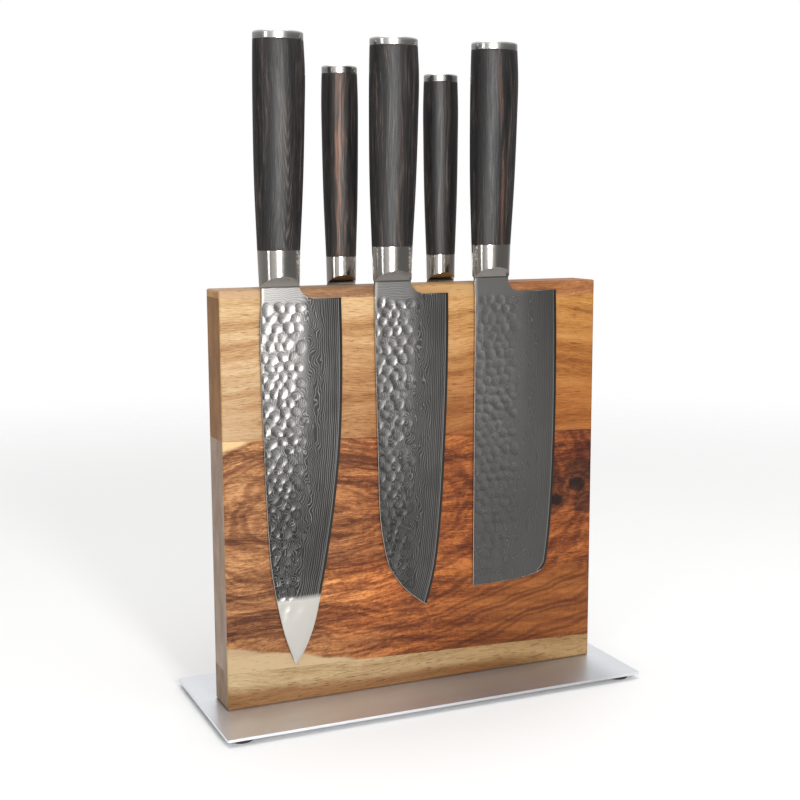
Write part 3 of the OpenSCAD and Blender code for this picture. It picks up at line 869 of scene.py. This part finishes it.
def half_thickness(knife, points, edge_gap, blunt_gap, heel_v, tip_v):
    """Half the blade's thickness: full at the bolster, thinner towards the tip and the edge."""
    in_blade = points[:, 1] <= heel_v
    taper = np.interp(points[:, 1], [tip_v, heel_v * 2], [0.5, 1.0])
    grind = np.clip(edge_gap / GRIND_W, 0, 1)
    half_t = knife.half_t * np.where(in_blade, taper * (0.22 + 0.78 * grind * (2 - grind)), 1.0)
    bevel_t = EDGE_HALF + (knife.half_t * taper * 0.34 - EDGE_HALF) * edge_gap / BEVEL_W
    half_t = np.where(in_blade & (edge_gap < BEVEL_W), np.minimum(half_t, bevel_t), half_t)
    half_t -= np.clip(1 - blunt_gap / EASE_W, 0, 1) * EASE_W * 0.9
    return np.maximum(half_t, EDGE_HALF)


def surface_values(points, edge_gap, blunt_gap, heel_v, ground_from, pale, vivid):
    """What a blade's material reads at each point."""
    up = points[:, 1]
    ground = np.clip((ground_from - up) / 3.0 + 0.5, 0, 1)
    eased = np.clip(1.3 * (1 - blunt_gap / EASE_W), 0, 1)
    ricasso = np.clip((up - heel_v + 3.0) / 2.0, 0, 1) * np.clip((edge_gap - 17) / 5, 0, 1)
    # The layers run along the edge, and bend over at the heel to run across the ricasso
    across = 13.0 - up
    layer = (edge_gap + across - np.hypot(edge_gap - across, 3.0)) / 2
    # Lighter strip by the spine, fading away from the handle: unhammered flat and painted highlight
    margin = np.clip((1.8 - blunt_gap) / 0.8, 0, 1) * np.clip((up + 60) / 40, 0, 1)
    return {"edge_gap": edge_gap, "layer": layer, "margin": margin, "ricasso": ricasso,
            "stir": np.clip((edge_gap - 9.0) / 8.0, 0, 1),
            "polish": np.maximum(ground, eased),
            # Where the bolster's painted shadow falls, from just below its line up
            "seam": np.clip((up + 0.75) / 0.3, 0, 1),
            # Paler towards the handle: painted light
            "pale": pale * np.clip(up / 115 + 1.15, 0, 1),
            "vivid": np.full(len(points), vivid)}


def make_blade(knife, material, depth, hammered_to, ground_from, pale, vivid, seed, share=0.5):
    """The blade as two skins over the frame's own outline: ground thin towards the edge, with a
    final bevel, dented by hammer marks, and carrying what its material needs."""
    points, triangles, blunt, sharp, neck_left, below, spine_u, edge_u = blade_plan(knife)
    heel_v, tip_v = below[0], below[-1]
    edge_gap = near_line(points, sharp)
    blunt_gap = near_line(points, np.vstack([neck_left, blunt]))
    half_t = half_thickness(knife, points, edge_gap, blunt_gap, heel_v, tip_v)
    room = np.clip((blunt_gap - 0.3) / 0.9, 0, 1) * np.clip((edge_gap - 4) / 4, 0, 1)
    dents = []
    for face in (0, 1):
        field = dimple_field(points, hammered_to, heel_v - 5.0,
                             lambda v: np.interp(-v, -below, edge_u - spine_u),
                             lambda v: np.interp(-v, -below, spine_u), depth, share,
                             seed * 10 + face)
        dents.append(field * room)
    total = len(points)
    w = np.concatenate([half_t - np.minimum(dents[0], half_t * 0.7),
                        -half_t + np.minimum(dents[1], half_t * 0.7)])
    faces, edges = [], set()
    for a, b, c in triangles:
        faces.append((a, b, c))
        faces.append((total + a, total + c, total + b))
        edges.update(((a, b), (b, c), (c, a)))
    faces += [(j, i, total + i, total + j) for i, j in sorted(edges) if (j, i) not in edges]
    place = knife.to_row(np.tile(points[:, 0], 2), np.tile(points[:, 1], 2), w)
    piece = make_piece(knife.name + "_hammered_blade", place, faces, material, knife, "blade", 28.0)
    values = surface_values(points, edge_gap, blunt_gap, heel_v, ground_from, pale, vivid)
    for key, value in values.items():
        write_attribute(piece.data, key, np.tile(value, 2))
    write_attribute(piece.data, "dimple", np.concatenate(dents) / depth)


def make_knives():
    bolster = brushed_steel("bolster_steel", srgb(196, 191, 185), 0.17, (0.4, 0.4, 2.5), 0.04)
    cap = brushed_steel("cap_steel", srgb(205, 203, 200), 0.22, (0.05, 0.05, 4.0), 0.12)
    steel = blade_steel("layered_steel", srgb(64, 63, 62), srgb(140, 139, 137),
                        (srgb(116, 114, 112), srgb(164, 162, 159)), srgb(196, 193, 187))
    # Name, depth of the hammer marks, how far down they go, where the bare ground tip starts,
    # how pale the hammered side is, how clear the layers are, and how strong the handle's
    # orange-brown streaks are
    for number, (name, depth, reach, ground, pale, vivid, warmth) in enumerate((
            ("chef", 0.4, -184, -171, 1.1, 1.15, 0.0),
            ("santoku", 0.34, -175, -300, 0.5, 0.8, 0.1),
            ("nakiri", 0.14, -175, -300, 0.25, 0.3, 0.5),
            ("utility", 0.24, -120, -300, 0.5, 0.8, 0.8),
            ("paring", 0.24, -86, -300, 0.5, 0.8, 0.05))):
        knife = Knife(name)
        arch = 0.13 if name == "chef" else 0.03
        make_handle(knife, laminated_wood(knife, number + 1, warmth, arch))
        make_cap(knife, cap)
        make_bolster(knife, bolster)
        make_blade(knife, steel, depth, reach, ground, pale, vivid, number + 1)


# ---- Stage and light ----


def make_floor():
    """A pale round floor that fades out into the white background."""
    s = Shader("floor")
    bpy.ops.mesh.primitive_circle_add(vertices=96, radius=1.6, fill_type="NGON")
    floor = bpy.context.object
    floor.name = "floor"
    away = length_of(s, s.node("ShaderNodeTexCoord").outputs["Object"])
    s.set(Base_Color=(0.82, 0.82, 0.815, 1), Roughness=0.6)
    s.set(Alpha=s.step(away, 0.45, 1.3, (1.0, 0.0)))
    floor.data.materials.append(s.material)


def make_area_light(name, place, aim, width, height, radiance):
    data = bpy.data.lights.new(name, "AREA")
    data.shape = "RECTANGLE"
    data.size = width
    data.size_y = height
    data.energy = radiance * math.pi * width * height
    lamp = bpy.data.objects.new(name, data)
    bpy.context.scene.collection.objects.link(lamp)
    lamp.location = place
    lamp.rotation_euler = (Vector(aim) - Vector(place)).to_track_quat("-Z", "Y").to_euler()
    lamp.visible_camera = False


def make_lights():
    # A tall strip nearly straight in front, a second round to the left, and a wide top light
    make_area_light("strip_front", (-0.05, -1.1, 0.37), (0, 0, 0.3), 0.15, 0.56, 38.0)
    make_area_light("strip_left", (-1.1, -1.0, 0.37), (0, 0, 0.3), 0.14, 0.56, 7.0)
    make_area_light("top", (0.0, -0.2, 1.7), (0, 0, 0), 1.4, 1.2, 1.9)


def make_world():
    """A studio: white behind the camera's view, mid grey in front, dark to both sides, and paler
    overhead."""
    world = bpy.data.worlds.new("studio")
    world.use_nodes = True
    bpy.context.scene.world = world
    s = Shader.__new__(Shader)
    s.tree = world.node_tree
    output = s.tree.nodes["World Output"]
    x, y, z = s.split(s.node("ShaderNodeTexCoord").outputs["Generated"])
    turn = s.math("ARCTAN2", x, s.math("MULTIPLY", y, -1.0))
    # Grey level by the angle round from straight in front, in degrees
    levels = ((-180, 0.5), (-100, 0.3), (-60, 0.22), (-42, 0.24), (-26, 0.6), (0, 0.6),
              (16, 0.35), (24, 0.14), (90, 0.18), (125, 0.5), (180, 0.5))
    stops = [((angle + 180) / 360, (level, level, level, 1)) for angle, level in levels]
    level = s.ramp(s.math("MULTIPLY_ADD", turn, 0.5 / math.pi, 0.5), stops)
    high = s.math("MULTIPLY", s.step(z, 0.05, 0.4), 0.5)
    level = s.math("ADD", level, high, clamp=True)
    studio = s.node("ShaderNodeBackground", {"Color": (1, 1, 1, 1), "Strength": level})
    white = s.node("ShaderNodeBackground", {"Color": (1, 1, 1, 1), "Strength": 1.0})
    share = s.node("ShaderNodeLightPath").outputs["Is Camera Ray"]
    both = s.node("ShaderNodeMixShader", {0: share, 1: studio.outputs[0], 2: white.outputs[0]})
    s.tree.links.new(both.outputs[0], output.inputs["Surface"])


finish_board()
finish_small_parts()
make_knives()
make_floor()
make_lights()
make_world()
